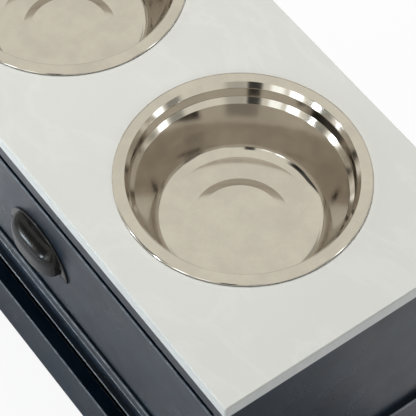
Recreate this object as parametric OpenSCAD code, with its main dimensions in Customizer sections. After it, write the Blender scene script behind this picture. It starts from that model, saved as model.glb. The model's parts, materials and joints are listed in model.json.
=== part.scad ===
// Elevated dog feeder: a marble-look top with two drop-in bowls over a drawer and an open shelf.
// Millimetres. Z is up, the drawer faces -Y, and the origin is under the middle of the top, on the floor.

/* [Overall] */
// Length of the top, left to right
top_length = 600; // [580:1:680]
// Depth of the top, front to back
top_depth = 278; // [274:1:310]
// Height of the top surface above the floor
stand_height = 388; // [370:1:440]

/* [Top panel] */
// Thickness of the top panel
top_thickness = 15; // [12:0.5:20]
// Radius of the top panel's four corners, seen from above
top_corner_radius = 2.5; // [1:0.5:6]
// Chamfer that eases the top panel's edges
top_edge_ease = 1.2; // [0.4:0.1:2]

/* [Bowls] */
// Outer radius of a bowl's rim
bowl_rim_radius = 108.3; // [104:0.1:110]
// Width of the flat rim
bowl_rim_width = 10.3; // [8:0.1:12]
// Height of the rim's top above the top panel
bowl_rim_height = 2.4; // [1.8:0.1:4]
// Depth of a bowl from the rim's top to its inner floor
bowl_depth = 66; // [60:0.5:68]
// Height of the slanted mouth under the rim
bowl_mouth_height = 5.4; // [4:0.1:7]
// How far the mouth runs inward
bowl_mouth_draft = 3.4; // [2.5:0.1:4.5]
// Height of the upper wall
bowl_upper_height = 9.7; // [8:0.1:12]
// How far the upper wall leans in
bowl_upper_draft = 1; // [0.5:0.1:2]
// Height of the slanted shoulder under the upper wall
bowl_shoulder_height = 5.3; // [4:0.1:7]
// How far the shoulder runs inward
bowl_shoulder_draft = 4; // [3:0.1:5]
// How far the lower wall leans in between the shoulder and the floor
bowl_lower_draft = 17.7; // [14:0.2:20]
// Radius of the rounding between wall and floor
bowl_corner_radius = 11; // [8:0.5:13]
// Radius of the floor's raised middle
bowl_middle_radius = 35; // [30:0.5:38]
// Width of the slope round the raised middle
bowl_middle_slope = 8; // [6:0.5:10]
// Rise of the floor's middle
bowl_middle_rise = 1; // [0.5:0.1:1.5]
// Rise of the floor from the foot of that slope out to the wall
bowl_outer_rise = 1; // [0.5:0.1:1.5]
// Sheet thickness of a bowl
bowl_sheet = 0.8; // [0.6:0.1:1.2]
// Distance between the two bowls' centres
bowl_spacing = 262.4; // [244:0.2:268]
// How far the bowls' centres lie behind the middle of the top
bowl_set_back = 3; // [0:0.5:4]
// Gap all round between a bowl's wall and its hole
bowl_hole_clearance = 1.5; // [0.8:0.1:2.5]
// Gap between a bowl's rim and the top panel it rests on
bowl_seat_gap = 0.3; // [0.2:0.05:0.5]

/* [Case] */
// How far the top overhangs the side panels
side_overhang = 19; // [16:0.5:24]
// How far the top overhangs the side panels' front edges
front_overhang = 14.5; // [12:0.5:18]
// How far the top overhangs the back
rear_overhang = 14.5; // [12:0.5:18]
// Thickness of the side panels, upper and lower
panel_thickness = 15; // [12:0.5:18]
// Height of the two rails under the top
apron_height = 70; // [62:0.5:76]
// Thickness of the two rails under the top
apron_thickness = 13; // [12:0.5:14]
// How far the front rail lies behind the side panels' front edges
apron_recess = 4.5; // [3:0.5:6]
// Thickness of the back panel
back_thickness = 5; // [4:0.5:7]
// Width of the rebate that holds each edge of the back panel
back_rebate = 7; // [5:0.5:9]
// Thickness of the case's bottom board
case_bottom_thickness = 15.8; // [14:0.2:18]
// Height of the rail on the bottom board's front edge
mid_rail_height = 13; // [11:0.5:16]
// Depth of the rail on the bottom board's front edge
mid_rail_depth = 20; // [16:1:26]
// Chamfer that eases the boards' long edges
board_ease = 0.8; // [0.3:0.1:1.5]

/* [Base] */
// Height of the moulded board's upper face above the floor
base_height = 143.5; // [132:0.5:156]
// Thickness of the moulded board
base_top_thickness = 18; // [16:0.5:20]
// How far the moulded board stands proud of the panels
base_top_projection = 5; // [3:0.5:7]
// Height of the moulded board's thin upright edge
base_top_edge = 2; // [1:0.25:4]
// Height of the lip in front of the open shelf
lip_height = 65; // [50:0.5:75]
// Thickness of the lip and of the base's back board
lip_thickness = 15; // [12:0.5:18]
// Thickness of the shelf board
shelf_thickness = 12; // [9:0.5:15]
// Height of the shelf board above the lower edge of the panels
shelf_rise = 6; // [2:0.5:12]

/* [Feet] */
// Radius of a foot pad
foot_radius = 7; // [5:0.5:7.5]
// Thickness of a foot pad
foot_height = 2; // [1.5:0.1:3]
// Distance of a foot pad from the ends of its panel
foot_inset = 30; // [20:1:50]

/* [Drawer] */
// How far the drawer's front lies behind the side panels' front edges
drawer_recess = 3; // [1.5:0.5:5]
// Gap above the drawer's front
drawer_gap_top = 4; // [2:0.5:5]
// Gap below the drawer's front
drawer_gap_bottom = 2.2; // [1.5:0.1:4]
// Gap at each side of the drawer
drawer_gap_side = 2; // [1.5:0.1:3]
// Thickness of the drawer's front
drawer_front_thickness = 15; // [13:0.5:18]
// Thickness of the drawer's sides and back
drawer_side_thickness = 12; // [10:0.5:14]
// Height of the drawer's sides and back
drawer_side_height = 96; // [80:1:104]
// Height of the drawer's sides above the front's lower edge
drawer_side_rise = 4; // [2:0.5:8]
// Gap between the drawer's back and the back panel
drawer_rear_gap = 14; // [8:1:36]
// Thickness of the drawer's floor
drawer_floor_thickness = 4; // [3:0.5:6]
// Depth of the grooves that hold the drawer's floor
drawer_floor_groove = 5; // [3:0.5:6]
// Height of the drawer's floor above its sides' lower edge
drawer_floor_rise = 8; // [5:0.5:14]

/* [Runners] */
// Height of a runner
runner_height = 10; // [8:0.5:14]
// How far a runner reaches into the drawer side's groove
runner_reach = 5; // [3:0.5:6]
// Height of a runner's middle above the drawer sides' lower edge
runner_rise = 48; // [40:1:60]
// Free play of a runner in its groove, on each face
runner_play = 0.4; // [0.3:0.05:0.6]
// Distance of a runner's front end behind the drawer's front
runner_set_back = 4; // [2:1:12]
// Distance of a runner's rear end before the drawer's back end
runner_end_gap = 8; // [4:1:30]

/* [Cup pull] */
// Width of the pull
pull_width = 92; // [80:1:110]
// Height of the pull
pull_height = 38; // [34:0.5:44]
// How far the pull stands out from the drawer's front
pull_reach = 17; // [14:0.5:17]
// Width of the pull's cup
pull_cup_width = 68; // [60:1:76]
// How far the rounding of the cup's ends reaches in
pull_cup_round = 11; // [9:0.5:16]
// Height of the pull's cup
pull_cup_height = 29.5; // [26:0.5:32]
// Thickness of the flange
pull_flange_thickness = 2; // [1.5:0.1:3]
// Wall thickness of the cup
pull_wall = 1.6; // [1.2:0.1:2.2]
// Distance between the pull's two screws
pull_screw_spacing = 32; // [28:1:34]
// Height of the pull's upper edge above the middle of the drawer's front
pull_rise = 29.5; // [18:0.5:34]

/* [Fasteners] */
// Radius of a cam lock
cam_radius = 7.5; // [6:0.25:8]
// Depth of a cam lock
cam_depth = 10.5; // [9.5:0.5:11]
// Distance of a cam lock's middle from the end of its board
cam_from_end = 24; // [22:1:34]
// Radius of a cam bolt
cam_bolt_radius = 2.5; // [2:0.1:3]
// How deep cam bolts and dowels reach into a side panel
joint_depth_in_panel = 10; // [7:0.5:11]
// Radius of a dowel
dowel_radius = 3; // [2.5:0.1:3.5]
// How deep a dowel reaches into its board
dowel_depth = 18; // [12:0.5:24]
// Radius of a stud between base and case
stud_radius = 3; // [2:0.1:4]
// Radius of a wood screw's shank
screw_radius = 1.75; // [1.5:0.05:2.25]
// Radius of a wood screw's head
screw_head_radius = 3.6; // [3:0.1:4]
// Height of a wood screw's head
screw_head_height = 2; // [1.5:0.1:2.5]
// How deep a wood screw bites into the piece behind
screw_bite = 9; // [6:0.5:10]
// Side of a corner block's square section
block_side = 20; // [18:0.5:24]
// Length of a corner block
block_length = 50; // [40:1:60]
// Distance of a corner block from the nearest rail
block_gap = 4; // [1:1:10]
// Number of screws along each upright edge of the back panel
back_screws_per_edge = 4; // [3:1:6]
// Clearance of every fastener in its hole
fastener_clearance = 0.1; // [0.05:0.05:0.2]

/* [Hidden] */
LEFT = -1;
RIGHT = 1;
ROUND = 64;
BOWL_ROUND = 128;
ARC_STEPS = 8;
PULL_STEPS = 14;
OVERLAP = 0.01;
PAINT = "#2b2f36";
INSIDE = "#34373d";
STEEL = "#c9c2b6";
ZINC = "#b9bcc0";
BEECH = "#c9a878";
PLASTIC = "#8d9095";
BRONZE = "#2a2522";
STONE = "#dcdedb";

// Planes of the case, all measured from the edges of the top
half_outer = top_length / 2 - side_overhang;
half_inner = half_outer - panel_thickness;
y_front = -top_depth / 2 + front_overhang;
y_rear = top_depth / 2 - rear_overhang;
y_back_panel = y_rear - back_thickness;
y_apron = y_front + apron_recess;
y_rear_apron = y_back_panel - apron_thickness;
z_top_under = stand_height - top_thickness;
z_apron = z_top_under - apron_height;
z_rail = base_height + case_bottom_thickness;
z_opening = z_rail + mid_rail_height;
z_base_under = base_height - base_top_thickness;
z_lip = foot_height + lip_height;
z_shelf = foot_height + shelf_rise;
y_base_back = y_rear - lip_thickness;
case_depth = y_rear - y_front;

// Planes of the drawer
half_drawer = half_inner - drawer_gap_side;
y_drawer = y_front + drawer_recess;
y_drawer_box = y_drawer + drawer_front_thickness;
y_drawer_end = y_back_panel - drawer_rear_gap;
drawer_box_depth = y_drawer_end - y_drawer_box;
z_drawer = z_opening + drawer_gap_bottom;
drawer_front_height = z_apron - drawer_gap_top - z_drawer;
z_drawer_side = z_drawer + drawer_side_rise;
z_drawer_floor = z_drawer_side + drawer_floor_rise;
half_drawer_inner = half_drawer - drawer_side_thickness;
z_runner = z_drawer_side + runner_rise;
y_runner = y_drawer_box + runner_set_back;
runner_thickness = drawer_gap_side + runner_reach;
runner_length = drawer_box_depth - runner_set_back - runner_end_gap;

// Bowl section, seen from the inside: radius and height under the rim's top
bowl_mouth = bowl_rim_radius - bowl_rim_width;
bowl_rim_round = bowl_rim_height - bowl_seat_gap;
bowl_upper_radius = bowl_mouth - bowl_mouth_draft;
bowl_upper_foot = bowl_upper_radius - bowl_upper_draft;
bowl_upper_end = bowl_mouth_height + bowl_upper_height;
bowl_wall_top = bowl_upper_end + bowl_shoulder_height;
bowl_wall_radius = bowl_upper_foot - bowl_shoulder_draft;
bowl_floor_radius = bowl_wall_radius - bowl_lower_draft;
bowl_hole_radius = bowl_mouth + bowl_sheet + bowl_hole_clearance;
z_rim = stand_height + bowl_rim_height;
y_bowl = bowl_set_back;

// Fasteners: where boards meet the side panels, as [Y, Z, way the cam lock faces]
low_share = 0.3;
high_share = 0.7;
cam_half = apron_thickness / 2;
z_cam_apron = z_apron + apron_height * low_share;
z_dowel_apron = z_apron + apron_height * high_share;
z_case_bottom_middle = base_height + case_bottom_thickness / 2;
z_shelf_middle = z_shelf + shelf_thickness / 2;
z_cam_lip = foot_height + lip_height * high_share;
z_cam_back = foot_height + (z_base_under - foot_height) * high_share;
board_joint_inset = 55;
y_board_front = y_front + board_joint_inset;
y_board_rear = y_rear - board_joint_inset;
y_board_middle = (y_board_front + y_board_rear) / 2;
BACKWARD = 1;
FORWARD = -1;
UPRIGHT_CAMS = [
    [y_apron + cam_half, z_cam_apron, BACKWARD, apron_thickness],
    [y_rear_apron + cam_half, z_cam_apron, FORWARD, apron_thickness],
    [y_front + lip_thickness / 2, z_cam_lip, BACKWARD, lip_thickness],
    [y_base_back + lip_thickness / 2, z_cam_back, FORWARD, lip_thickness]];
FLAT_CAMS = [
    [y_board_front, z_case_bottom_middle, case_bottom_thickness],
    [y_board_rear, z_case_bottom_middle, case_bottom_thickness]];
DOWELS = [
    [y_apron + cam_half, z_dowel_apron],
    [y_rear_apron + cam_half, z_dowel_apron],
    [y_board_middle, z_case_bottom_middle],
    [y_board_front, z_shelf_middle],
    [y_board_middle, z_shelf_middle],
    [y_board_rear, z_shelf_middle]];
stud_inset = 30;
base_stud_y = [y_front + stud_inset, y_rear - stud_inset];
block_y = [y_apron + apron_thickness + block_gap, y_rear_apron - block_gap - block_length];
back_screw_edge = 3.5;
back_screw_end = apron_height / 2;
runner_screw_inset = 30;
runner_screw_y = [y_runner + runner_screw_inset, y_runner + runner_length - runner_screw_inset];
drawer_joint_inset = 20;
drawer_joint_z = [z_drawer_side + drawer_joint_inset,
    z_drawer_side + drawer_side_height - drawer_joint_inset];

// Pull: heights, and the half widths of the cup and of its straight middle
z_pull_top = z_drawer + drawer_front_height / 2 + pull_rise;
z_pull = z_pull_top - pull_height;
cup_middle = pull_cup_width / 2 - pull_cup_round;
cup_squeeze = pull_cup_round / pull_reach;
pull_boss_radius = 3;
pull_boss_height = 15;
pull_screw_bite = 6;
z_pull_screw = z_pull + pull_boss_height;
boss_share = pull_boss_height / (pull_cup_height - pull_wall);
pull_boss_length = (pull_reach - pull_wall) * sqrt(1 - boss_share * boss_share) + pull_wall / 3;

// Points of an arc about a centre, from one angle to another
function arc(cx, cy, r, from, to, steps) =
    [for (i = [0 : steps]) let (a = from + (to - from) * i / steps) [cx + r * cos(a), cy + r * sin(a)]];

// A path moved sideways by a distance, each point along the mean of its two segments' normals
function segment_normal(a, b) = let (d = b - a, l = norm(d)) [d[1] / l, -d[0] / l];
function point_normal(path, i) = let (
    before = segment_normal(path[max(i - 1, 0)], path[max(i, 1)]),
    after = segment_normal(path[min(i, len(path) - 2)], path[min(i + 1, len(path) - 1)]),
    sum = before + after) sum * 2 / (sum * sum);
function moved_path(path, distance) =
    [for (i = [0 : len(path) - 1]) path[i] + point_normal(path, i) * distance];
function backwards(list) = [for (i = [len(list) - 1 : -1 : 0]) list[i]];

// Slope of the lower wall, and where its rounding into the floor is centred
lower_wall_height = bowl_depth - bowl_outer_rise - bowl_wall_top;
lower_wall_angle = atan2(bowl_lower_draft, lower_wall_height);
corner_sweep = 90 - lower_wall_angle;
corner_reach = bowl_corner_radius * tan(corner_sweep / 2);
corner_centre_x = bowl_floor_radius - corner_reach;
corner_centre_y = bowl_outer_rise - bowl_depth + bowl_corner_radius;
corner_start = -87;

// The bowl's inner surface, from the floor's middle out to the rim's outer edge
bowl_surface = concat(
    [[0, bowl_middle_rise - bowl_depth], [bowl_middle_radius, bowl_middle_rise - bowl_depth],
        [bowl_middle_radius + bowl_middle_slope, -bowl_depth]],
    arc(corner_centre_x, corner_centre_y, bowl_corner_radius, corner_start, -lower_wall_angle, ARC_STEPS),
    [[bowl_wall_radius, -bowl_wall_top], [bowl_upper_foot, -bowl_upper_end],
        [bowl_upper_radius, -bowl_mouth_height], [bowl_mouth, 0]],
    arc(bowl_rim_radius - bowl_rim_round, -bowl_rim_round, bowl_rim_round, 90, 0, ARC_STEPS));

module eased_rectangle(width, height, ease) {
    polygon([[ease, 0], [width - ease, 0], [width, ease], [width, height - ease],
        [width - ease, height], [ease, height], [0, height - ease], [0, ease]]);
}

// A board from low corner to size whose edges along X, Y or Z are eased
module board_along_x(low, size, ease) {
    translate(low) rotate([90, 0, 90]) linear_extrude(size[0]) eased_rectangle(size[1], size[2], ease);
}

module board_along_z(low, size, ease) {
    translate(low) linear_extrude(size[2]) eased_rectangle(size[0], size[1], ease);
}

module board_along_y(low, size, ease) {
    translate(low + [0, size[1], 0]) rotate([90, 0, 0]) linear_extrude(size[1])
        eased_rectangle(size[0], size[2], ease);
}

// A straight rod from a point, along +X, +Y or +Z
module rod_x(at, radius, length) {
    translate(at) rotate([0, 90, 0]) cylinder(r = radius, h = length, $fn = ROUND);
}

module rod_y(at, radius, length) {
    translate(at) rotate([-90, 0, 0]) cylinder(r = radius, h = length, $fn = ROUND);
}

module rod_z(at, radius, length) {
    translate(at) cylinder(r = radius, h = length, $fn = ROUND);
}

// A wood screw whose head's flat face is at the origin, pointing along +Z
module wood_screw(grip, grow) {
    cylinder(r = screw_radius + grow, h = grip + screw_bite + grow, $fn = ROUND);
    translate([0, 0, -grow])
        cylinder(r = screw_head_radius + grow, h = screw_head_height + grow, $fn = ROUND);
}

module mirrored_pair() {
    children();
    mirror([1, 0, 0]) children();
}

// Cam bolts lie along X, from the cam lock's middle into the side panel
module right_cam_bolts(grow) {
    for (c = concat(UPRIGHT_CAMS, FLAT_CAMS)) {
        rod_x([half_inner - cam_from_end, c[0], c[1]], cam_bolt_radius + grow,
            cam_from_end + joint_depth_in_panel + grow);
    }
}

module right_cam_locks(grow) {
    for (c = UPRIGHT_CAMS) {
        face = c[0] + c[2] * c[3] / 2;
        translate([half_inner - cam_from_end, face, c[1]]) rotate([c[2] * 90, 0, 0])
            cylinder(r = cam_radius + grow, h = cam_depth + grow, $fn = ROUND);
    }
    for (c = FLAT_CAMS) {
        translate([half_inner - cam_from_end, c[0], c[1] - c[2] / 2])
            cylinder(r = cam_radius + grow, h = cam_depth + grow, $fn = ROUND);
    }
}

module right_dowels(grow) {
    for (d = DOWELS) {
        rod_x([half_inner - dowel_depth - grow, d[0], d[1]], dowel_radius + grow,
            dowel_depth + joint_depth_in_panel + 2 * grow);
    }
}

// Studs run through the moulded board, from the base's sides up into the side panels
module right_base_studs(grow) {
    for (y = base_stud_y) {
        rod_z([half_outer - panel_thickness / 2, y, z_base_under - dowel_depth - grow], stud_radius + grow,
            base_top_thickness + 2 * (dowel_depth + grow));
    }
}

module right_joint_holes() {
    right_cam_bolts(fastener_clearance);
    right_cam_locks(fastener_clearance);
    right_dowels(fastener_clearance);
}

module joint_holes() {
    mirrored_pair() right_joint_holes();
}

// One corner block and its two screws, up into the top and out into the side panel
module right_block(y) {
    translate([half_inner - block_side, y, z_top_under - block_side])
        cube([block_side, block_length, block_side]);
}

module right_block_screws(grow) {
    for (y = block_y) {
        translate([half_inner - block_side / 2, y + block_length / 3, z_top_under - block_side])
            wood_screw(block_side, grow);
        translate([half_inner - block_side, y + block_length * 2 / 3, z_top_under - block_side / 2])
            rotate([0, 90, 0]) wood_screw(block_side, grow);
    }
}

module right_runner_screws(grow) {
    for (y = runner_screw_y) {
        translate([half_inner - runner_thickness, y, z_runner]) rotate([0, 90, 0])
            wood_screw(runner_thickness, grow);
    }
}

module all_back_screws(grow) {
    span = z_top_under - base_height - 2 * back_screw_end;
    mirrored_pair() for (i = [0 : back_screws_per_edge - 1]) {
        translate([half_inner + back_screw_edge, y_rear, base_height + back_screw_end
            + span * i / (back_screws_per_edge - 1)]) rotate([90, 0, 0]) wood_screw(back_thickness, grow);
    }
}

// The top panel with its two bowl holes
module top_panel_solid() {
    half_x = top_length / 2;
    half_y = top_depth / 2;
    translate([0, 0, z_top_under]) linear_extrude(top_thickness) difference() {
        square([top_length, top_depth], center = true);
        for (sx = [LEFT, RIGHT], sy = [LEFT, RIGHT]) {
            translate([sx * half_x, sy * half_y]) difference() {
                square(2 * top_corner_radius, center = true);
                translate([-sx, -sy] * top_corner_radius) circle(r = top_corner_radius, $fn = ROUND);
            }
        }
    }
}

module top_edge_chamfers() {
    side = top_edge_ease * sqrt(2);
    for (z = [z_top_under, stand_height], s = [LEFT, RIGHT]) {
        translate([0, s * top_depth / 2, z]) rotate([45, 0, 0])
            cube([top_length * 2, side, side], center = true);
        translate([s * top_length / 2, 0, z]) rotate([0, 45, 0])
            cube([side, top_depth * 2, side], center = true);
    }
}

module top_panel() {
    color(STONE) difference() {
        top_panel_solid();
        top_edge_chamfers();
        for (s = [LEFT, RIGHT]) {
            rod_z([s * bowl_spacing / 2, y_bowl, z_top_under - OVERLAP], bowl_hole_radius,
                top_thickness + 2 * OVERLAP);
        }
        mirrored_pair() right_block_screws(fastener_clearance);
    }
}

module bowl(side) {
    outside = moved_path(bowl_surface, bowl_sheet);
    color(STEEL) translate([side * bowl_spacing / 2, y_bowl, z_rim]) rotate_extrude($fn = BOWL_ROUND)
        polygon(concat(bowl_surface, [for (p = backwards(outside)) [max(p[0], 0), p[1]]]));
}

module front_apron() {
    color(PAINT) difference() {
        board_along_x([-half_inner, y_apron, z_apron], [2 * half_inner, apron_thickness, apron_height],
            board_ease);
        joint_holes();
    }
}

module rear_apron() {
    color(PAINT) difference() {
        board_along_x([-half_inner, y_rear_apron, z_apron], [2 * half_inner, apron_thickness, apron_height],
            board_ease);
        joint_holes();
    }
}

module side_panel_right() {
    color(PAINT) difference() {
        board_along_z([half_inner, y_front, base_height],
            [panel_thickness, case_depth, z_top_under - base_height], board_ease);
        translate([half_inner - OVERLAP, y_back_panel, base_height - OVERLAP])
            cube([back_rebate + OVERLAP, case_depth, stand_height]);
        right_joint_holes();
        right_block_screws(fastener_clearance);
        right_base_studs(fastener_clearance);
        right_runner_screws(fastener_clearance);
        all_back_screws(fastener_clearance);
    }
}

module side_panel_left() {
    mirror([1, 0, 0]) side_panel_right();
}

module back_panel() {
    width = 2 * (half_inner + back_rebate);
    color(INSIDE) difference() {
        translate([-width / 2, y_back_panel, base_height])
            cube([width, back_thickness, z_top_under - base_height]);
        all_back_screws(fastener_clearance);
    }
}

module case_bottom() {
    color(PAINT) difference() {
        board_along_x([-half_inner, y_front, base_height],
            [2 * half_inner, y_back_panel - y_front, case_bottom_thickness], board_ease);
        joint_holes();
    }
}

module mid_rail() {
    color(PAINT) board_along_x([-half_inner, y_front, z_rail],
        [2 * half_inner, mid_rail_depth, mid_rail_height], board_ease);
}

// Section of the moulded board: a thin upright edge over a hollow curve
function moulding_side(half) = concat(
    [[half, 0], [half, -base_top_edge]],
    [for (i = [1 : ARC_STEPS]) let (a = 90 * i / ARC_STEPS) [half - base_top_projection * sin(a),
        -base_top_edge - (base_top_thickness - base_top_edge) * (1 - cos(a))]]);

module moulding_section(half) {
    right = moulding_side(half);
    polygon(concat(right, [for (p = backwards(right)) [-p[0], p[1]]]));
}

module base_top() {
    half_x = half_outer + base_top_projection;
    half_y = case_depth / 2 + base_top_projection;
    color(PAINT) difference() {
        translate([0, (y_front + y_rear) / 2, base_height]) intersection() {
            rotate([90, 0, 0]) linear_extrude(3 * half_y, center = true) moulding_section(half_x);
            rotate([90, 0, 90]) linear_extrude(3 * half_x, center = true) moulding_section(half_y);
        }
        mirrored_pair() right_base_studs(fastener_clearance);
    }
}

module base_side_right() {
    color(PAINT) difference() {
        board_along_z([half_inner, y_front, foot_height],
            [panel_thickness, case_depth, z_base_under - foot_height], board_ease);
        right_joint_holes();
        right_base_studs(fastener_clearance);
    }
}

module base_side_left() {
    mirror([1, 0, 0]) base_side_right();
}

module base_back() {
    color(PAINT) difference() {
        board_along_x([-half_inner, y_base_back, foot_height],
            [2 * half_inner, lip_thickness, z_base_under - foot_height], board_ease);
        joint_holes();
    }
}

module shelf_board() {
    y_low = y_front + lip_thickness;
    color(INSIDE) difference() {
        translate([-half_inner, y_low, z_shelf])
            cube([2 * half_inner, y_base_back - y_low, shelf_thickness]);
        joint_holes();
    }
}

module shelf_lip() {
    color(PAINT) difference() {
        board_along_x([-half_inner, y_front, foot_height], [2 * half_inner, lip_thickness, lip_height],
            board_ease);
        joint_holes();
    }
}

module foot_pads() {
    color("#3a3a3a") mirrored_pair() for (y = [y_front + foot_inset, y_rear - foot_inset]) {
        rod_z([half_outer - panel_thickness / 2, y, 0], foot_radius, foot_height);
    }
}

module corner_blocks() {
    color(BEECH) mirrored_pair() difference() {
        for (y = block_y) {
            right_block(y);
        }
        right_block_screws(fastener_clearance);
    }
}

module block_screws() {
    color(ZINC) mirrored_pair() right_block_screws(0);
}

module cam_bolts() {
    color(ZINC) mirrored_pair() right_cam_bolts(0);
}

module cam_locks() {
    color(ZINC) mirrored_pair() difference() {
        right_cam_locks(0);
        right_cam_bolts(fastener_clearance);
    }
}

module dowels() {
    color(BEECH) mirrored_pair() right_dowels(0);
}

module base_studs() {
    color(ZINC) mirrored_pair() right_base_studs(0);
}

module back_screws() {
    color(ZINC) all_back_screws(0);
}

// The drawer's floor, and the grooves for it with clearance all round
module floor_plate(grow) {
    half_x = half_drawer_inner + drawer_floor_groove;
    y_low = y_drawer_box - drawer_floor_groove;
    y_high = y_drawer_end - drawer_side_thickness + drawer_floor_groove;
    translate([-half_x - grow, y_low - grow, z_drawer_floor - grow])
        cube([2 * (half_x + grow), y_high - y_low + 2 * grow, drawer_floor_thickness + 2 * grow]);
}

// Dowels run from the drawer's front into the ends of its sides
module right_drawer_dowels(grow) {
    dowel_x = half_drawer - drawer_side_thickness / 2;
    for (z = drawer_joint_z) {
        rod_y([dowel_x, y_drawer_box - joint_depth_in_panel - grow, z], dowel_radius + grow,
            joint_depth_in_panel + dowel_depth + 2 * grow);
    }
}

// Screws run through the drawer's sides into the ends of its back
module right_drawer_screws(grow) {
    screw_y = y_drawer_end - drawer_side_thickness / 2;
    for (z = drawer_joint_z) {
        translate([half_drawer, screw_y, z]) rotate([0, -90, 0]) wood_screw(drawer_side_thickness, grow);
    }
}

module pull_screw_pair(grow) {
    for (s = [LEFT, RIGHT]) {
        translate([s * pull_screw_spacing / 2, y_drawer_box, z_pull_screw]) rotate([90, 0, 0]) {
            cylinder(r = screw_radius + grow, h = drawer_front_thickness + pull_screw_bite + grow,
                $fn = ROUND);
            translate([0, 0, -screw_head_height])
                cylinder(r = screw_head_radius, h = screw_head_height, $fn = ROUND);
        }
    }
}

module drawer_front() {
    color(PAINT) difference() {
        board_along_x([-half_drawer, y_drawer, z_drawer],
            [2 * half_drawer, drawer_front_thickness, drawer_front_height], board_ease);
        floor_plate(fastener_clearance);
        mirrored_pair() right_drawer_dowels(fastener_clearance);
        pull_screw_pair(fastener_clearance);
    }
}

module drawer_side_right() {
    groove_half = runner_height / 2 + runner_play;
    groove_depth = runner_reach + runner_play;
    color(INSIDE) difference() {
        board_along_y([half_drawer_inner, y_drawer_box, z_drawer_side],
            [drawer_side_thickness, drawer_box_depth, drawer_side_height], board_ease);
        translate([half_drawer - groove_depth, y_runner - runner_play, z_runner - groove_half])
            cube([drawer_side_thickness, drawer_box_depth, 2 * groove_half]);
        floor_plate(fastener_clearance);
        right_drawer_dowels(fastener_clearance);
        right_drawer_screws(fastener_clearance);
    }
}

module drawer_side_left() {
    mirror([1, 0, 0]) drawer_side_right();
}

module drawer_back() {
    color(INSIDE) difference() {
        board_along_x([-half_drawer_inner, y_drawer_end - drawer_side_thickness, z_drawer_side],
            [2 * half_drawer_inner, drawer_side_thickness, drawer_side_height], board_ease);
        floor_plate(fastener_clearance);
        mirrored_pair() right_drawer_screws(fastener_clearance);
    }
}

module drawer_floor() {
    color(INSIDE) floor_plate(0);
}

module drawer_dowels() {
    color(BEECH) mirrored_pair() right_drawer_dowels(0);
}

module drawer_screws() {
    color(ZINC) mirrored_pair() right_drawer_screws(0);
}

// The pull: a hollow cup with rounded ends, open below, and a flat flange round it
function quarter_oval(rx, ry) =
    [for (i = [0 : PULL_STEPS]) let (a = 90 * i / PULL_STEPS) [rx * cos(a), ry * sin(a)]];
function half_outline(middle, rx, ry) = [for (p = quarter_oval(rx, ry)) p + [middle, 0]];

module cup_section() {
    polygon(concat(quarter_oval(pull_reach, pull_cup_height),
        backwards(quarter_oval(pull_reach - pull_wall, pull_cup_height - pull_wall))));
}

// A half oval with a straight middle, down to a level at or below its base
module half_oval(middle, rx, ry, low) {
    right = concat([[middle + rx, low]], half_outline(middle, rx, ry));
    polygon(concat(right, [for (p = backwards(right)) [-p[0], p[1]]]));
}

module flange_section() {
    difference() {
        half_oval(0, pull_width / 2, pull_height, 0);
        half_oval(cup_middle, pull_cup_round - pull_wall * cup_squeeze, pull_cup_height - pull_wall,
            -pull_wall);
    }
}

module cup_end() {
    translate([cup_middle, 0, 0]) scale([cup_squeeze, 1, 1]) rotate([0, 0, -90])
        rotate_extrude(angle = 90, $fn = ROUND) cup_section();
}

module cup_bosses() {
    for (s = [LEFT, RIGHT]) {
        rod_y([s * pull_screw_spacing / 2, -pull_boss_length, pull_boss_height], pull_boss_radius,
            pull_boss_length);
    }
}

module cup_pull() {
    color(BRONZE) difference() {
        translate([0, y_drawer, z_pull]) {
            rotate([90, 0, 0]) linear_extrude(pull_flange_thickness) flange_section();
            translate([-cup_middle, 0, 0]) rotate([90, 0, 90]) linear_extrude(2 * cup_middle)
                mirror([1, 0]) cup_section();
            mirrored_pair() cup_end();
            cup_bosses();
        }
        pull_screw_pair(fastener_clearance);
    }
}

module pull_screws() {
    color(ZINC) pull_screw_pair(0);
}

module runner_right() {
    color(PLASTIC) difference() {
        translate([half_inner - runner_thickness, y_runner, z_runner - runner_height / 2])
            cube([runner_thickness, runner_length, runner_height]);
        right_runner_screws(fastener_clearance);
    }
}

module runner_left() {
    mirror([1, 0, 0]) runner_right();
}

module runner_screws() {
    color(ZINC) mirrored_pair() right_runner_screws(0);
}

top_panel();
bowl(LEFT);  // bowl_left
bowl(RIGHT);  // bowl_right
front_apron();
rear_apron();
side_panel_left();
side_panel_right();
back_panel();
case_bottom();
mid_rail();
base_top();
base_side_left();
base_side_right();
base_back();
shelf_board();
shelf_lip();
foot_pads();
corner_blocks();
block_screws();
cam_bolts();
cam_locks();
dowels();
base_studs();
back_screws();
drawer_front();
drawer_side_left();
drawer_side_right();
drawer_back();
drawer_floor();
drawer_dowels();
drawer_screws();
cup_pull();
pull_screws();
runner_left();
runner_right();
runner_screws();
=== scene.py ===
import json
import math

import bmesh
import bpy
from mathutils import Matrix, Vector


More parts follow.
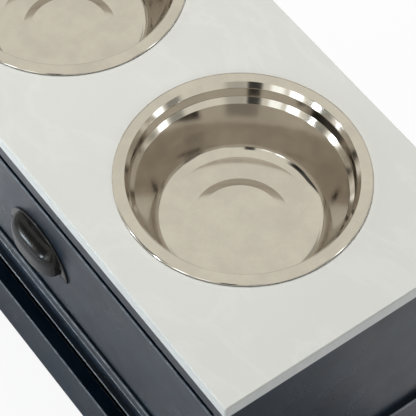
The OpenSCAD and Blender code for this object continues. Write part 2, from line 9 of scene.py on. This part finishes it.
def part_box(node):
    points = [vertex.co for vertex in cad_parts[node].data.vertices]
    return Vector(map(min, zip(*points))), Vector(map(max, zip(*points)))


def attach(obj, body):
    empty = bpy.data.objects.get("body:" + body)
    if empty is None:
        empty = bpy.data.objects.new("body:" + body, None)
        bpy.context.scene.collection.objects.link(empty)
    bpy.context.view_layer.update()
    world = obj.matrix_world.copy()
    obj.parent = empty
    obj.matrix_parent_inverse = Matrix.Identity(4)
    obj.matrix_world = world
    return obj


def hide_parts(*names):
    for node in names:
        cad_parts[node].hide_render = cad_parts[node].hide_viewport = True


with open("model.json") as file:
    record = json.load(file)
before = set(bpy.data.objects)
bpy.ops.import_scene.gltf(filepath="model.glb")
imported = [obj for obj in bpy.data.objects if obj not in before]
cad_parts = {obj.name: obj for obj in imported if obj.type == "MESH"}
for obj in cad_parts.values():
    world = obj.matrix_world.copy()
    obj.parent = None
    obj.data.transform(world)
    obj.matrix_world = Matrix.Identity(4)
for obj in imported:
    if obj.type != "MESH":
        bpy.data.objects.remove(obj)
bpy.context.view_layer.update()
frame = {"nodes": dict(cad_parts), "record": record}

MM = 0.001
MERGE_DISTANCE = 1e-6


# Angles in radians, from start to end degrees in even steps
def sweep(start, end, steps):
    return [math.radians(start + (end - start) * i / steps) for i in range(steps + 1)]


# Camera, solved from the photograph
IMAGE_SIDE = 416
CAMERA_PLACE = (0.86325, -0.58778, 1.69793)
CAMERA_AZIMUTH = 52.809
CAMERA_ELEVATION = 55.294
CAMERA_ROLL = 1.335
FOCAL_PIXELS = 1951.85
SENSOR_WIDTH = 36.0
CLIP_START = 0.05
CLIP_END = 50.0


def camera_axes():
    a, e, r = (math.radians(v) for v in (CAMERA_AZIMUTH, CAMERA_ELEVATION, CAMERA_ROLL))
    back = Vector((math.sin(a) * math.cos(e), -math.cos(a) * math.cos(e), math.sin(e)))
    right = Vector((math.cos(a), math.sin(a), 0.0))
    up = back.cross(right)
    return right * math.cos(r) + up * math.sin(r), up * math.cos(r) - right * math.sin(r), back


def make_camera():
    data = bpy.data.cameras.new("camera")
    data.sensor_fit = "HORIZONTAL"
    data.sensor_width = SENSOR_WIDTH
    data.lens = FOCAL_PIXELS * SENSOR_WIDTH / IMAGE_SIDE
    data.clip_start = CLIP_START
    data.clip_end = CLIP_END
    camera = bpy.data.objects.new("camera", data)
    bpy.context.scene.collection.objects.link(camera)
    turn = Matrix(camera_axes()).transposed().to_4x4()
    camera.matrix_world = Matrix.Translation(Vector(CAMERA_PLACE)) @ turn
    bpy.context.scene.camera = camera


make_camera()


# Node trees: a socket takes a link, a number, a vector or a colour
class Nodes:
    def __init__(self, tree):
        self.tree = tree
        self.tree.nodes.clear()

    def feed(self, socket, value):
        if isinstance(value, bpy.types.NodeSocket):
            self.tree.links.new(value, socket)
        elif socket.type == "RGBA":
            socket.default_value = (*value, 1.0)
        else:
            socket.default_value = value

    def node(self, kind, sockets, **settings):
        made = self.tree.nodes.new(kind)
        for name, value in settings.items():
            setattr(made, name, value)
        for key, value in sockets.items():
            self.feed(made.inputs[key], value)
        return made

    def maths(self, kind, one, two=0.0):
        return self.node("ShaderNodeMath", {0: one, 1: two}, operation=kind).outputs[0]

    def mixed_shaders(self, share, one, two):
        return self.node("ShaderNodeMixShader", {0: share, 1: one, 2: two}).outputs[0]

    def ray_share(self, shares):
        path = self.node("ShaderNodeLightPath", {})
        total = 0.0
        for name, share in shares.items():
            total = self.maths("ADD", total, self.maths("MULTIPLY", path.outputs[name], share))
        return total


class Shade(Nodes):
    def __init__(self, name):
        self.material = bpy.data.materials.new(name)
        self.material.use_nodes = True
        super().__init__(self.material.node_tree)
        self.shader = self.node("ShaderNodeBsdfPrincipled", {})
        self.node("ShaderNodeOutputMaterial", {"Surface": self.shader.outputs[0]})
        self.place = self.node("ShaderNodeTexCoord", {}).outputs["Object"]

    def stretched(self, scale, turn=(0.0, 0.0, 0.0)):
        sockets = {"Vector": self.place, "Scale": scale, "Rotation": turn}
        return self.node("ShaderNodeMapping", sockets).outputs[0]

    def noise(self, scale, detail=4.0, rough=0.55, where=None, distortion=0.0):
        sockets = {"Vector": where or self.place, "Scale": scale, "Detail": detail,
                   "Roughness": rough, "Distortion": distortion}
        return self.node("ShaderNodeTexNoise", sockets).outputs["Fac"]

    def ramp(self, fac, *stops):
        made = self.node("ShaderNodeValToRGB", {0: fac})
        made.color_ramp.interpolation = "EASE"
        points = made.color_ramp.elements
        while len(points) < len(stops):
            points.new(0.5)
        for point, (at, colour) in zip(points, stops):
            point.position = at
            point.color = (*colour, 1.0)
        return made.outputs[0]

    def span(self, fac, low, high, start=0.0, end=1.0):
        sockets = {"Value": fac, "From Min": start, "From Max": end, "To Min": low, "To Max": high}
        return self.node("ShaderNodeMapRange", sockets).outputs[0]

    def mixed_colours(self, fac, one, two):
        return self.node("ShaderNodeMix", {0: fac, 6: one, 7: two}, data_type="RGBA").outputs[2]

    def bump(self, height, strength, distance):
        sockets = {"Height": height, "Strength": strength, "Distance": distance}
        self.set(Normal=self.node("ShaderNodeBump", sockets).outputs[0])

    def set(self, **sockets):
        for name, value in sockets.items():
            self.feed(self.shader.inputs[name.replace("_", " ")], value)


# Materials. Noise takes a scale per metre, a detail and a roughness; a bump takes a strength and metres
BLACK = (0.0, 0.0, 0.0)
WHITE = (1.0, 1.0, 1.0)


def stone_material(s):
    cloud = s.noise(5.5, 5.0, 0.6, distortion=0.4)
    ground = s.ramp(cloud, (0.3, (0.645, 0.652, 0.62)), (0.7, (0.67, 0.678, 0.645)))
    vein_path = s.noise(6.0, 5.0, 0.6, s.stretched((1.0, 1.7, 1.0), (0.0, 0.0, 0.55)), 0.7)
    vein = s.ramp(vein_path, (0.45, BLACK), (0.497, WHITE), (0.545, BLACK))
    s.set(Base_Color=s.mixed_colours(s.span(vein, 0.0, 0.4), ground, (0.71, 0.72, 0.69)),
          Roughness=s.span(s.noise(60.0, 3.0), 0.36, 0.48))
    s.bump(s.noise(420.0, 2.0), 0.05, 0.0004)


def steel_material(s):
    fine = s.noise(900.0, 2.0, 0.5, s.stretched((1.0, 1.0, 6.0)))
    marks = s.noise(38.0, 5.0, 0.62)
    s.set(Base_Color=s.ramp(marks, (0.3, (0.53, 0.488, 0.446)), (0.7, (0.592, 0.547, 0.499))),
          Roughness=s.span(s.maths("MULTIPLY", fine, marks), 0.06, 0.13, 0.1, 0.4), Metallic=1.0)
    s.bump(fine, 0.03, 0.00005)


# Paint over the boards, with a painted highlight on the arrises: a lighter colour on the eased edges stands
# in for their bright edge lines
def painted_material(s):
    cloud = s.noise(26.0, 5.0, 0.65, s.stretched((0.5, 1.0, 1.0)), 0.5)
    paint = s.ramp(cloud, (0.34, (0.002, 0.0065, 0.014)), (0.66, (0.0065, 0.0155, 0.029)))
    arris = s.node("ShaderNodeAttribute", {}, attribute_name="arris").outputs["Fac"]
    # Painted highlight: marked arris faces get a lighter colour, broken up by noise
    arris_highlight = s.maths("MULTIPLY", arris, s.span(s.noise(120.0, 3.0), 0.5, 1.0, 0.35, 0.65))
    s.set(Base_Color=s.mixed_colours(arris_highlight, paint, (0.27, 0.3, 0.33)),
          Roughness=s.span(s.noise(24.0, 4.0, 0.6), 0.25, 0.36, 0.3, 0.7), Specular_IOR_Level=0.38)
    s.bump(s.noise(420.0, 4.0, 0.6, s.stretched((0.3, 1.0, 1.0))), 0.14, 0.0003)


# A dark interior board colour, darkened further as painted shade for the open slot and the inside of the
# case
def inner_material(s):
    fleck = s.noise(700.0, 4.0, 0.7)
    s.set(Base_Color=s.ramp(fleck, (0.35, (0.003, 0.0035, 0.005)), (0.7, (0.007, 0.008, 0.011))),
          Roughness=s.span(fleck, 0.5, 0.62), Specular_IOR_Level=0.3)
    s.bump(fleck, 0.1, 0.0003)


def beech_material(s):
    grain = s.noise(55.0, 6.0, 0.6, s.stretched((0.25, 4.0, 4.0)), 0.6)
    pores = s.noise(600.0, 3.0, 0.6, s.stretched((0.15, 3.0, 3.0)))
    tone = s.ramp(grain, (0.3, (0.5, 0.31, 0.16)), (0.72, (0.66, 0.46, 0.27)))
    s.set(Base_Color=s.mixed_colours(s.span(pores, 0.0, 0.35, 0.5, 0.8), tone, (0.36, 0.2, 0.1)),
          Roughness=s.span(grain, 0.48, 0.6))
    s.bump(pores, 0.2, 0.0003)


def zinc_material(s):
    grain = s.noise(450.0, 4.0, 0.6)
    s.set(Base_Color=s.ramp(grain, (0.3, (0.52, 0.54, 0.57)), (0.7, (0.66, 0.67, 0.69))),
          Roughness=s.span(grain, 0.28, 0.42), Metallic=1.0)
    s.bump(grain, 0.08, 0.0002)


def runner_material(s):
    grain = s.noise(900.0, 3.0, 0.6)
    s.set(Base_Color=s.ramp(grain, (0.3, (0.2, 0.21, 0.225)), (0.7, (0.25, 0.26, 0.275))),
          Roughness=s.span(grain, 0.42, 0.55))
    s.bump(grain, 0.1, 0.0002)


def pull_material(s):
    wear = s.noise(70.0, 5.0, 0.6)
    s.set(Base_Color=s.ramp(wear, (0.3, (0.014, 0.013, 0.0125)), (0.7, (0.022, 0.02, 0.019))),
          Roughness=s.span(wear, 0.14, 0.19), Specular_IOR_Level=0.28)
    s.bump(s.noise(1500.0, 2.0), 0.04, 0.0001)


def pad_material(s):
    grain = s.noise(800.0, 3.0, 0.7)
    s.set(Base_Color=s.ramp(grain, (0.3, (0.02, 0.02, 0.021)), (0.7, (0.045, 0.045, 0.046))),
          Roughness=s.span(grain, 0.7, 0.85))
    s.bump(grain, 0.2, 0.0004)


def made_material(slot, fill):
    shade = Shade(slot)
    fill(shade)
    return shade.material


MATERIALS = {slot: made_material(slot, fill) for slot, fill in (
    ("stone_top", stone_material), ("bowl_steel", steel_material), ("black_board", painted_material),
    ("inner_board", inner_material), ("beech", beech_material), ("zinc", zinc_material),
    ("runner_plastic", runner_material), ("pull_bronze", pull_material), ("pad", pad_material))}
SLOT_OF = {part["node"]: part["material_slot"] for part in frame["record"]["subparts"]}
BODY_OF = {node: body for body, nodes in frame["record"]["behaviour"]["bodies"].items() for node in nodes}

for name, part in frame["nodes"].items():
    part.data.materials.clear()
    part.data.materials.append(MATERIALS[SLOT_OF[name]])


# New pieces, each of which stands for a node
def mesh_from(name, bm):
    bmesh.ops.recalc_face_normals(bm, faces=bm.faces)
    mesh = bpy.data.meshes.new(name)
    bm.to_mesh(mesh)
    bm.free()
    return mesh


def add_piece(node, suffix, bm, smooth=False):
    name = node + suffix
    mesh = mesh_from(name, bm)
    for face in mesh.polygons:
        face.use_smooth = smooth
    piece = bpy.data.objects.new(name, mesh)
    bpy.context.scene.collection.objects.link(piece)
    piece.data.materials.append(MATERIALS[SLOT_OF[node]])
    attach(piece, BODY_OF[node])
    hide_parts(node)


# Boards with eased edges, whose new faces are marked for the painted arris highlight
EASED_NODES = ("front_apron", "rear_apron", "side_panel_left", "side_panel_right", "case_bottom", "mid_rail",
               "base_side_left", "base_side_right", "base_back", "shelf_lip", "drawer_front")
BOARD_EASING = 0.7 * MM
TOP_EASING = 0.5 * MM
EASING_SEGMENTS = 2
SHORTEST_EASED = 12.0 * MM
FLAT_ANGLE = math.radians(1.0)
SHARP_ANGLE = math.radians(25.0)


def eased_copy(node, width):
    bm = bmesh.new()
    bm.from_mesh(frame["nodes"][node].data)
    bmesh.ops.remove_doubles(bm, verts=bm.verts, dist=MERGE_DISTANCE)
    bmesh.ops.dissolve_limit(bm, angle_limit=FLAT_ANGLE, verts=bm.verts, edges=bm.edges)
    sharp = [edge for edge in bm.edges if len(edge.link_faces) == 2
             and edge.calc_length() > SHORTEST_EASED and edge.calc_face_angle() > SHARP_ANGLE]
    arris = bm.faces.layers.float.new("arris")
    made = bmesh.ops.bevel(bm, geom=sharp, offset=width, segments=EASING_SEGMENTS, profile=0.5,
                           affect="EDGES", clamp_overlap=True)
    # The new bevel faces take the painted arris highlight
    for face in made["faces"]:
        face[arris] = 1.0
    add_piece(node, "_eased", bm)


for node in EASED_NODES:
    eased_copy(node, BOARD_EASING)
eased_copy("top_panel", TOP_EASING)


# Moulded board: mitred rings, from the thin upright edge down a hollow curve
def moulding_levels(low, high):
    projection, edge, rounding, steps = 5.0 * MM, 2.0 * MM, 0.5 * MM, 20
    drop = (high.z - low.z) - edge
    levels = [(rounding, high.z)]
    levels += [(rounding - rounding * math.sin(a), high.z - rounding + rounding * math.cos(a))
               for a in sweep(30, 90, 2)]
    levels += [(0.0, high.z - edge + rounding)]
    levels += [(projection * math.sin(a), high.z - edge - drop * (1.0 - math.cos(a)))
               for a in sweep(0, 90, steps)]
    return levels


def moulded_board():
    low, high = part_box("base_top")
    levels = moulding_levels(low, high)
    # Strips of the rounded edges, marked for the painted arris highlight
    highlighted_strips = (0, 1, 2, 4, 5, len(levels) - 2)
    bm = bmesh.new()
    arris = bm.faces.layers.float.new("arris")
    rings = []
    for inset, z in levels:
        left, right, front, rear = low.x + inset, high.x - inset, low.y + inset, high.y - inset
        corners = ((left, front), (right, front), (right, rear), (left, rear))
        rings.append([bm.verts.new((x, y, z)) for x, y in corners])
    for strip, (one, two) in enumerate(zip(rings, rings[1:])):
        for i in range(4):
            face = bm.faces.new((one[i], one[(i + 1) % 4], two[(i + 1) % 4], two[i]))
            face[arris] = float(strip in highlighted_strips)
    bm.faces.new(rings[0])
    bm.faces.new(rings[-1])
    add_piece("base_top", "_moulded", bm)


moulded_board()

# Bowls: one sheet spun round its axis, in millimetres from the rim's flat face
SHEET = 0.8
BOWL_TURNS = 192
SUPPORT = 0.5


def arc(cx, cy, radius, start, end, steps):
    return [(cx + radius * math.cos(a), cy + radius * math.sin(a)) for a in sweep(start, end, steps)]


def bowl_profile():
    rim, width, height, gap = 108.3, 10.3, 2.4, 0.3
    mouth = rim - width
    mouth_height, mouth_draft = 5.4, 3.4
    upper_height, upper_draft = 9.7, 1.0
    shoulder_height, shoulder_draft = 5.3, 4.0
    depth, lower_draft = 66.0, 17.7
    corner, corner_start = 11.0, -87.0
    flat, middle, slope, middle_rise, outer_rise = 18.0, 35.0, 8.0, 1.0, 1.0
    upper_radius = mouth - mouth_draft
    upper_foot, upper_end = upper_radius - upper_draft, mouth_height + upper_height
    wall_radius, wall_top = upper_foot - shoulder_draft, upper_end + shoulder_height
    lean = math.atan2(lower_draft, depth - outer_rise - wall_top)
    reach = corner * math.tan((math.pi / 2 - lean) / 2)
    rim_round = height - gap
    floor = middle_rise - depth
    path = [(0.0, floor), (flat, floor), (middle, floor), (middle + slope, -depth)]
    path += arc(wall_radius - lower_draft - reach, outer_rise - depth + corner, corner,
                corner_start, -math.degrees(lean), 12)
    path += [(wall_radius, -wall_top), (upper_foot, -upper_end), (upper_radius, -mouth_height), (mouth, 0.0)]
    path += arc(rim - rim_round, -rim_round, rim_round, 90, 0, 7)
    return path


# Points close beside each bend keep its smooth shading narrow
def supported(path):
    out = [path[0]]
    for (x0, y0), (x1, y1) in zip(path, path[1:]):
        length = math.hypot(x1 - x0, y1 - y0)
        if length > 3.0 * SUPPORT:
            for share in (SUPPORT / length, 1.0 - SUPPORT / length):
                out.append((x0 + (x1 - x0) * share, y0 + (y1 - y0) * share))
        out.append((x1, y1))
    return out


def normal(a, b):
    length = math.hypot(b[0] - a[0], b[1] - a[1])
    return (b[1] - a[1]) / length, -(b[0] - a[0]) / length


def moved(path, distance):
    out = []
    for i, point in enumerate(path):
        before = normal(path[max(i - 1, 0)], path[max(i, 1)])
        after = normal(path[min(i, len(path) - 2)], path[min(i + 1, len(path) - 1)])
        total = (before[0] + after[0], before[1] + after[1])
        size = 2.0 * distance / (total[0] ** 2 + total[1] ** 2)
        out.append((max(point[0] + total[0] * size, 0.0), point[1] + total[1] * size))
    return out


def spun(profile, centre, top):
    bm = bmesh.new()
    turns = [2.0 * math.pi * i / BOWL_TURNS for i in range(BOWL_TURNS)]
    rings = []
    for radius, height in profile:
        z = top + height * MM
        if radius < MERGE_DISTANCE:
            rings.append([bm.verts.new((centre.x, centre.y, z))])
            continue
        rings.append([bm.verts.new((centre.x + radius * MM * math.cos(a),
                                    centre.y + radius * MM * math.sin(a), z)) for a in turns])
    for one, two in zip(rings, rings[1:]):
        for i in range(BOWL_TURNS):
            j = (i + 1) % BOWL_TURNS
            corners = [one[i % len(one)], one[j % len(one)], two[j % len(two)], two[i % len(two)]]
            corners = [v for k, v in enumerate(corners) if v not in corners[:k]]
            if len(corners) > 2:
                bm.faces.new(corners)
    return bm


def bowl(node):
    low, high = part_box(node)
    inside = supported(bowl_profile())
    section = inside + list(reversed(moved(inside, SHEET)))
    add_piece(node, "_spun", spun(section, (low + high) / 2.0, high.z), smooth=True)


bowl("bowl_left")
bowl("bowl_right")

# Cup pull, in millimetres: a section swept round an oval plan, and a flat flange with a rounded edge
PULL_REACH = 17.0
PULL_HEIGHT = 29.5
PULL_SHOULDER = 12.5
PULL_WALL = 1.6
PULL_MIDDLE = 23.0
PULL_SQUEEZE = 11.0 / PULL_REACH
PULL_OVAL_POWER = 2.8
PULL_STATIONS = 64
FLANGE_THICKNESS = 2.0
FLANGE_EDGE = 0.8
FLANGE_EDGE_TURNS = tuple(math.radians(a) for a in (0, 22, 45, 68, 90))
FLANGE_INSIDE_SHARE = 0.5


def pull_plan():
    power = 2.0 / PULL_OVAL_POWER
    return [(math.copysign(abs(math.sin(a)) ** power, a), -max(math.cos(a), 0.0) ** power)
            for a in sweep(-90.0, 90.0, PULL_STATIONS)]


def cup_curve(reach, height, lip):
    curve = [(reach, lip), (reach, (lip + PULL_SHOULDER) / 2.0)]
    curve += [(reach * math.cos(a), PULL_SHOULDER + (height - PULL_SHOULDER) * math.sin(a))
              for a in sweep(0.0, 90.0, 22)]
    return curve


def cup_section():
    lip = PULL_WALL / 2.0
    section = list(reversed(cup_curve(PULL_REACH, PULL_HEIGHT, lip)))
    section += [(PULL_REACH - lip + lip * math.cos(a), lip - lip * math.sin(a)) for a in sweep(30, 150, 4)]
    section += cup_curve(PULL_REACH - PULL_WALL, PULL_HEIGHT - PULL_WALL, lip)
    return section


def flange_inside(end, height):
    quarter, straight = sweep(0.0, 90.0, 20), 10
    outline = [(-PULL_MIDDLE - end * math.cos(a), height * math.sin(a)) for a in quarter]
    outline += [(-PULL_MIDDLE + 2.0 * PULL_MIDDLE * i / straight, height) for i in range(1, straight)]
    outline += [(PULL_MIDDLE + end * math.sin(a), height * math.cos(a)) for a in quarter]
    return outline


def grid_faces(bm, rows):
    for one, two in zip(rows, rows[1:]):
        for i in range(len(one) - 1):
            bm.faces.new((one[i], one[i + 1], two[i + 1], two[i]))


def cup_rows(place):
    section = cup_section()
    return [[place((PULL_MIDDLE + radius * PULL_SQUEEZE) * side, radius * along, z) for radius, z in section]
            for side, along in pull_plan()]


def flange_rows(place, half_width, full_height):
    end, height = (PULL_REACH - PULL_WALL) * PULL_SQUEEZE, PULL_HEIGHT - PULL_WALL
    rows = []
    for ix, iz in flange_inside(end, height):
        turn = math.atan2(iz / height, ix / (PULL_MIDDLE + end))
        ox, oz = half_width * math.cos(turn), full_height * math.sin(turn)
        share = FLANGE_EDGE / math.hypot(ox - ix, oz - iz)
        points = [(0.0, 0.0)]
        points += [(share * (1.0 - math.cos(a)), -FLANGE_THICKNESS + FLANGE_EDGE * (1.0 - math.sin(a)))
                   for a in FLANGE_EDGE_TURNS]
        points += [(FLANGE_INSIDE_SHARE, -FLANGE_THICKNESS), (1.0, -FLANGE_THICKNESS), (1.0, 0.0)]
        rows.append([place(ox + (ix - ox) * t, y, oz + (iz - oz) * t) for t, y in points])
    return rows


def cup_pull():
    low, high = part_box("cup_pull")
    bm = bmesh.new()

    def place(x, y, z):
        return bm.verts.new((x * MM, high.y + y * MM, low.z + z * MM))

    grid_faces(bm, cup_rows(place))
    rows = flange_rows(place, (high.x - low.x) / 2.0 / MM, (high.z - low.z) / MM)
    grid_faces(bm, rows)
    bm.faces.new(rows[0])
    bm.faces.new(rows[-1])
    bmesh.ops.remove_doubles(bm, verts=bm.verts, dist=MERGE_DISTANCE)
    add_piece("cup_pull", "_cast", bm, smooth=True)


cup_pull()

# Floor: its own pale colour, and a glow that the camera and reflections see as the background
FLOOR_HALF_SIDE = 12.0
FLOOR_COLOUR = (0.74, 0.75, 0.765)
FLOOR_GLOW = {"Is Camera Ray": 0.92, "Is Glossy Ray": 0.04, "Is Transmission Ray": 0.1}


def floor_material():
    material = bpy.data.materials.new("floor")
    material.use_nodes = True
    nodes = Nodes(material.node_tree)
    matt = nodes.node("ShaderNodeBsdfDiffuse", {"Color": FLOOR_COLOUR}).outputs[0]
    glow = nodes.node("ShaderNodeEmission", {"Color": WHITE}).outputs[0]
    surface = nodes.mixed_shaders(nodes.ray_share(FLOOR_GLOW), matt, glow)
    nodes.node("ShaderNodeOutputMaterial", {"Surface": surface})
    return material


def make_floor():
    bm = bmesh.new()
    bmesh.ops.create_grid(bm, x_segments=1, y_segments=1, size=FLOOR_HALF_SIDE)
    mesh = mesh_from("floor", bm)
    mesh.materials.append(floor_material())
    floor = bpy.data.objects.new("floor", mesh)
    bpy.context.scene.collection.objects.link(floor)


# Patches of the studio that only reflections see: azimuth, elevation, half width, half height, edge, level
PATCHES = (
    (237.0, 12.0, 7.0, 10.0, 2.0, 0.7),
    (238.5, 7.0, 1.8, 5.0, 1.5, 27.0),
    (262.0, 8.0, 2.2, 6.0, 1.5, 27.0),
    (257.0, 18.0, 10.0, 22.0, 3.0, -0.6),
    (280.0, 16.0, 5.0, 12.0, 2.0, 3.0),
    (296.0, 16.0, 5.5, 12.0, 2.0, 0.9),
    (314.5, 20.0, 6.0, 26.0, 1.5, -0.93),
    (330.0, 14.0, 9.0, 16.0, 4.0, -0.35),
    (23.0, 12.0, 6.5, 14.0, 3.0, -0.6),
    (37.0, 10.0, 4.0, 10.0, 2.0, 3.0),
    (50.0, 10.0, 5.0, 12.0, 3.0, -0.55),
    (225.0, 14.0, 5.0, 16.0, 3.0, -0.5),
    (241.0, 38.0, 20.0, 14.0, 3.0, -0.9),
    (148.0, 27.0, 28.0, 13.0, 5.0, -0.5),
    (90.0, 12.0, 30.0, 12.0, 6.0, -0.3),
)
LOWEST_LEVEL = 0.03
ROOM_LEVEL = 1.1
ROOM_COLOUR = (0.98, 0.98, 0.875)
WINDOW_COLOUR = (0.82, 0.95, 1.06)
AMBIENT_COLOUR = (0.96, 0.98, 1.0)
AMBIENT_STRENGTH = 0.075


class Sky(Nodes):
    def __init__(self, name):
        self.world = bpy.data.worlds.new(name)
        self.world.use_nodes = True
        super().__init__(self.world.node_tree)
        self.direction = self.node("ShaderNodeTexCoord", {}).outputs["Generated"]
        self.rise = self.maths("ARCSINE", self.turned(0.0).outputs["Z"])

    def turned(self, azimuth):
        sockets = {"Vector": self.direction, "Angle": -math.radians(azimuth)}
        rotated = self.node("ShaderNodeVectorRotate", sockets, rotation_type="Z_AXIS").outputs[0]
        return self.node("ShaderNodeSeparateXYZ", {0: rotated})

    def within(self, angle, half, soft):
        sockets = {"Value": self.maths("ABSOLUTE", angle),
                   "From Min": math.radians(half + soft), "From Max": math.radians(half - soft)}
        return self.node("ShaderNodeMapRange", sockets, interpolation_type="SMOOTHSTEP").outputs[0]

    def patch(self, azimuth, elevation, half_width, half_height, soft):
        parts = self.turned(azimuth)
        side = self.within(self.maths("ARCTAN2", parts.outputs["Y"], parts.outputs["X"]), half_width, soft)
        up = self.within(self.maths("SUBTRACT", self.rise, math.radians(elevation)), half_height, soft)
        return self.maths("MULTIPLY", side, up)

    def glow(self, colour, strength):
        return self.node("ShaderNodeBackground", {"Color": colour, "Strength": strength}).outputs[0]


def make_world():
    sky = Sky("studio")
    bpy.context.scene.world = sky.world
    level = 1.0
    for *where, change in PATCHES:
        level = sky.maths("ADD", level, sky.maths("MULTIPLY", sky.patch(*where), change))
    level = sky.maths("MAXIMUM", level, LOWEST_LEVEL)
    room = sky.glow(ROOM_COLOUR, sky.maths("MINIMUM", level, ROOM_LEVEL))
    above = sky.maths("MAXIMUM", sky.maths("SUBTRACT", level, ROOM_LEVEL), 0.0)
    mirrored = sky.node("ShaderNodeAddShader", {0: room, 1: sky.glow(WINDOW_COLOUR, above)}).outputs[0]
    ambient = sky.glow(AMBIENT_COLOUR, AMBIENT_STRENGTH)
    lit = sky.mixed_shaders(sky.ray_share({"Is Glossy Ray": 1.0}), ambient, mirrored)
    seen = sky.ray_share({"Is Camera Ray": 1.0, "Is Transmission Ray": 1.0})
    sky.node("ShaderNodeOutputWorld", {"Surface": sky.mixed_shaders(seen, lit, sky.glow(WHITE, 1.0))})


# Softboxes: azimuth, elevation, distance, width, height, watts, colour
LIGHT_TARGET = Vector((0.0, 0.0, 0.3))
LIGHTS = {
    "key": (163.0, 56.0, 4.6, 2.2, 2.2, 232.0, (1.0, 0.985, 0.965)),
    "front": (-112.0, 6.0, 1.7, 1.0, 0.5, 20.0, (0.86, 0.94, 1.0)),
    "right": (2.0, 20.0, 2.6, 1.6, 0.6, 15.0, (0.95, 0.97, 1.0)),
}


def softbox(name, azimuth, elevation, distance, width, height, power, colour):
    data = bpy.data.lights.new(name, "AREA")
    data.shape = "RECTANGLE"
    data.size, data.size_y = width, height
    data.energy = power
    data.color = colour
    light = bpy.data.objects.new(name, data)
    bpy.context.scene.collection.objects.link(light)
    a, e = math.radians(azimuth), math.radians(elevation)
    towards = Vector((math.cos(a) * math.cos(e), math.sin(a) * math.cos(e), math.sin(e)))
    light.location = LIGHT_TARGET + distance * towards
    light.rotation_euler = (LIGHT_TARGET - light.location).to_track_quat("-Z", "Y").to_euler()
    light.visible_glossy = False


make_floor()
make_world()
for name, values in LIGHTS.items():
    softbox(name, *values)
bpy.context.scene.view_settings.view_transform = "Standard"
